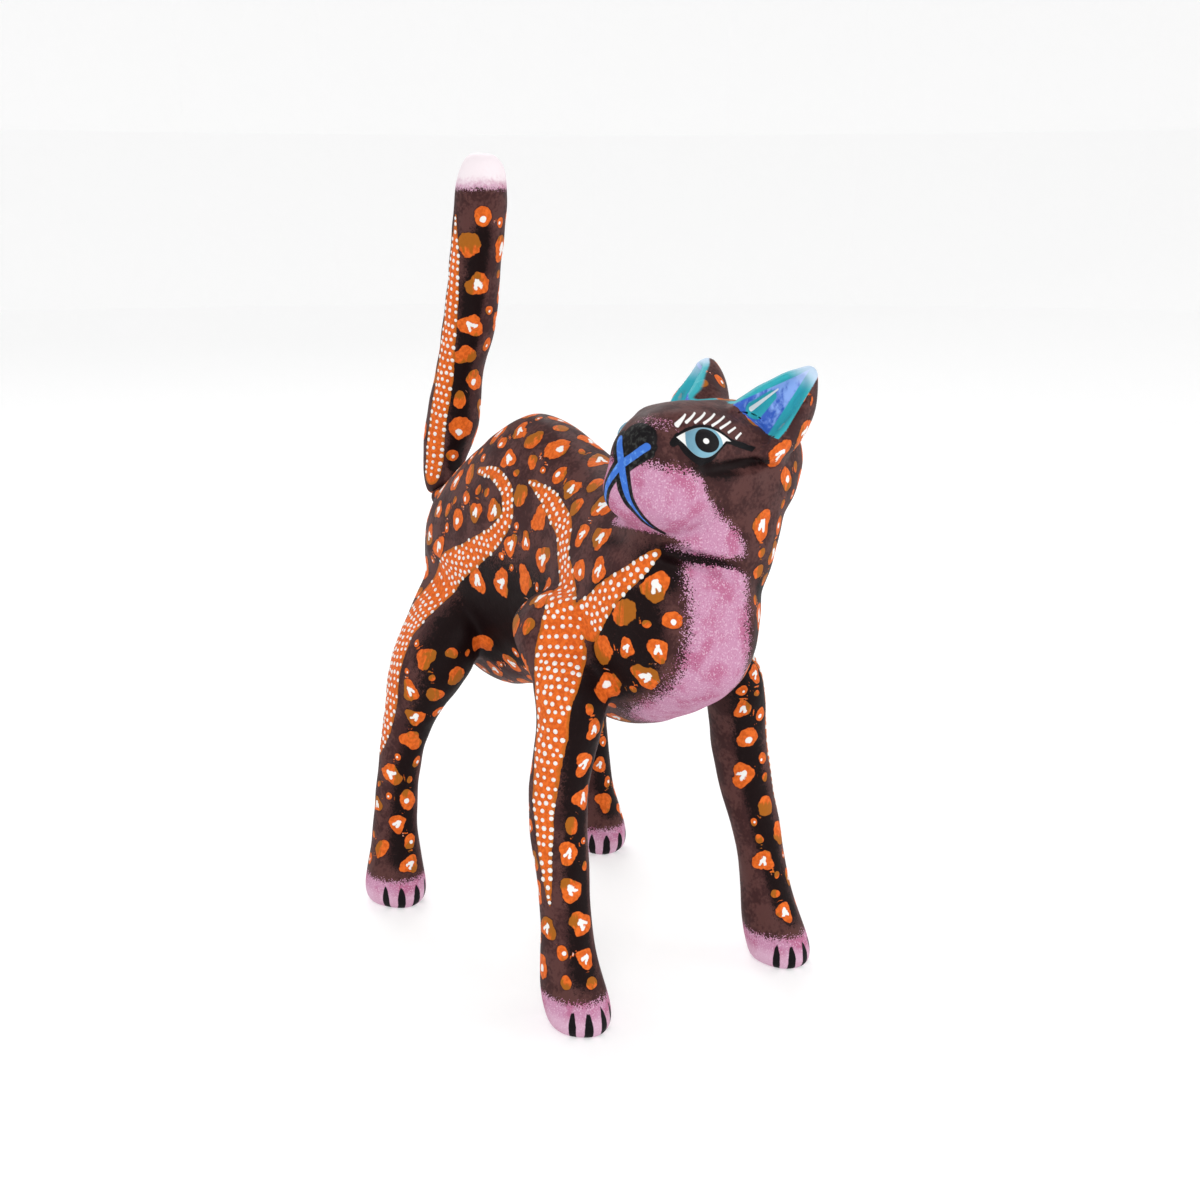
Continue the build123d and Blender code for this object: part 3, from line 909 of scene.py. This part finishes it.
def bare_wood():
    """Unpainted copal: pale, with long faint grain."""
    p = Paint("bare_copal", 0.7)
    grain = p.noise(0.5, 3.0, (1.0, 1.0, 0.08))
    colour = p.mix(p.fade(grain, 0.35, 0.7), (0.62, 0.43, 0.24), (0.48, 0.30, 0.15))
    return p.finish(colour, grain, 0.05)


# ------------------------------------------------------------------ making the pieces
def painted_piece(name, node, body, points, corners, skin, bands, finishes):
    """A painted piece that stands for a node; finishes are (finish, test of a face's middle)."""
    used = np.unique(corners)
    place = np.full(len(points), -1)
    place[used] = np.arange(len(used))
    points, corners = points[used], place[corners]
    piece = make_piece(name, points, corners, skin.normals, figure_paint(spots, bands, skin))
    middles = points[corners].mean(1)
    which = np.zeros(len(corners), np.int32)
    for index, (finish, test) in enumerate(finishes):
        piece.data.materials.append(finish)
        if test is not None:
            which[test(middles)] = index
    piece.data.polygons.foreach_set("material_index", which)
    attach(piece, body)
    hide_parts(node)
    return piece


def in_face(points):
    ahead, _, up = head_places(points)
    return (ahead > 0.5) & (up > -17) & (points[:, 2] > 100)


def near_ears(points):
    out, height, depth = ear_places(points).T
    return (height > -5.5) & (height != 0) & (np.abs(out) < 10) & (depth > -2) & (head_places(points)[0] < 9)


def drops(name, body, bands):
    """The white dots of some bands: low domes of three rings standing on the paint."""
    sides, rings = 8, [(1.0, 0.0), (0.82, 0.55), (0.42, 0.92)]
    height, sunk = 0.27, 0.06
    points, corners = [], []
    turn = np.arange(sides) * 2 * np.pi / sides
    for band in bands:
        places = band.dots()
        normals = band.skin.normals(places)
        size = SPOT_RNG.uniform(0.50, 0.70, len(places))
        first, second = across(normals, SPOT_RNG.uniform(0, 6, len(places)))
        for place, normal, radius, u, v in zip(places, normals, size, first, second):
            start = len(points)
            for wide, high in rings:
                for angle in turn:
                    offset = (u * np.cos(angle) + v * np.sin(angle)) * wide * radius
                    points.append(place + offset + normal * (height * high - sunk))
            points += [place + normal * 0.21, place - normal * 0.16]
            for ring in range(len(rings) - 1):
                for i in range(sides):
                    a, b = start + ring * sides + i, start + ring * sides + (i + 1) % sides
                    corners += [(a, b, b + sides), (a, b + sides, a + sides)]
            top, bottom = start + len(rings) * sides, start + len(rings) * sides + 1
            for i in range(sides):
                a, b = start + i, start + (i + 1) % sides
                last = sides * (len(rings) - 1)
                corners += [(a + last, b + last, top), (b, a, bottom)]
    piece = make_piece(name, np.array(points), np.array(corners))
    piece.data.materials.append(dot_finish())
    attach(piece, body)


# ------------------------------------------------------------------ the pieces
body = Skin(*figure_field(BODY_STEP, (-46, -75, -2), (46, 75, 158)))
tail_block = Block((-12, 36, 92), (18, 76, 206), TAIL_STEP)
tail_values = knife_marks(tail_block, softened(tail_block.distance("tail"), 0.7, TAIL_STEP) - 0.05)
tail_values = np.maximum(tail_values, -tail_block.along(TAIL_SEAT + 0.04 * TAIL_AXIS, TAIL_AXIS))
tail_values = round_bore(tail_block, tail_values, TAIL_SEAT, TAIL_AXIS, PEG_BORE / 2, BORE_DEPTH)
tail_skin = Skin(tail_block, tail_values)

bands = [Band(path, side, body) for path in (HAUNCH_BAND, SHOULDER_BAND, BREAST_BAND) for side in (-1, 1)]
tail_bands = [Band(TAIL_BAND, -1, tail_skin)]
sample_points = np.concatenate([body.points, tail_skin.points])
sample_normals = np.concatenate([body.normals(body.points), tail_skin.normals(tail_skin.points)])
spots = Spots(sample_points, sample_normals, bands + tail_bands)

body_paint, face_paint, ear_paint = body_finish(), face_finish(), ear_finish()
borders = {node: body.border(node, "trunk") for node in LEGS + EARS}
trunk_points, trunk_corners = body.points, body.corners
for node, border in borders.items():
    cut_points, cut_corners = cut_mesh(body.points, body.corners, border)
    finishes = [(ear_paint if node in EARS else body_paint, None)]
    painted_piece("painted_" + node, node, "figure", cut_points, cut_corners, body, bands, finishes)
    trunk_points, trunk_corners = cut_mesh(trunk_points, trunk_corners, lambda p, b=border: -b(p))
finishes = [(body_paint, None), (face_paint, in_face), (ear_paint, near_ears)]
painted_piece("painted_trunk", "trunk", "figure", trunk_points, trunk_corners, body, bands, finishes)
tail_points, tail_corners = tail_skin.points, tail_skin.corners
finishes = [(body_paint, None)]
painted_piece("painted_tail", "tail", "tail", tail_points, tail_corners, tail_skin, tail_bands, finishes)
drops("white_dots_of_the_body", "figure", bands)
drops("white_dots_of_the_tail", "tail", tail_bands)
for peg in [leg + "_peg" for leg in LEGS] + ["tail_peg"]:
    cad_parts[peg].data.materials.clear()
    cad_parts[peg].data.materials.append(bare_wood())

# ------------------------------------------------------------------ stage, light and camera
def make_stage():
    """A pale paper bowl: level out to 1.2 m, then curving up into a wall all round."""
    reach = np.array([0.0, 0.15, 0.4, 0.8, 1.2, 1.6, 1.95, 2.2, 2.3, 2.3])
    rise = np.array([0.0, 0.0, 0.0, 0.0, 0.0, 0.08, 0.30, 0.65, 1.1, 2.4])
    turn = np.arange(64) * 2 * np.pi / 64
    points = [(r * cos(a), r * sin(a), z) for r, z in zip(reach, rise) for a in turn]
    quads = []
    for ring in range(len(reach) - 1):
        for i in range(64):
            a, b = ring * 64 + i, ring * 64 + (i + 1) % 64
            quads.append((a, a + 64, b + 64, b))
    mesh = bpy.data.meshes.new("paper_floor")
    mesh.from_pydata(points, [], quads)
    floor = bpy.data.objects.new("paper_floor", mesh)
    bpy.context.scene.collection.objects.link(floor)
    paper = Paint("white_paper", 0.9, Emission_Color=(1, 1, 1, 1), Emission_Strength=PAPER_GLOW)
    grain = paper.noise(4.0)
    paper.finish(paper.mix(grain, (0.58, 0.58, 0.58), (0.62, 0.62, 0.62)))
    mesh.materials.append(paper.material)


def make_light(name, place, target, size, power):
    data = bpy.data.lights.new(name, "AREA")
    data.shape, data.size, data.energy = "DISK", size, power
    light = bpy.data.objects.new(name, data)
    bpy.context.scene.collection.objects.link(light)
    light.location = place
    light.rotation_euler = (Vector(target) - Vector(place)).to_track_quat("-Z", "Y").to_euler()
    return light


make_stage()
make_light("key_softbox", (-0.55, -0.70, 0.80), (0, 0, 0.09), 0.55, 4.2)
make_light("fill_softbox", (0.75, -0.55, 0.35), (0, 0, 0.09), 0.7, 2.0)
make_light("rim_softbox", (0.25, 0.7, 0.8), (0, 0, 0.1), 0.6, 4.0)
world = bpy.data.worlds.new("studio")
world.use_nodes = True
world.node_tree.nodes["Background"].inputs["Color"].default_value = (1, 1, 1, 1)
world.node_tree.nodes["Background"].inputs["Strength"].default_value = 0.55
bpy.context.scene.world = world

camera_data = bpy.data.cameras.new("camera")
camera_data.sensor_width, camera_data.lens = 36.0, 46.8
camera = bpy.data.objects.new("camera", camera_data)
bpy.context.scene.collection.objects.link(camera)
camera.location = (-0.2123, -0.33347, 0.186)
camera.rotation_euler = (radians(90 - 13.8), 0, radians(-33.8))
bpy.context.scene.camera = camera
bpy.context.scene.view_settings.view_transform = "Standard"
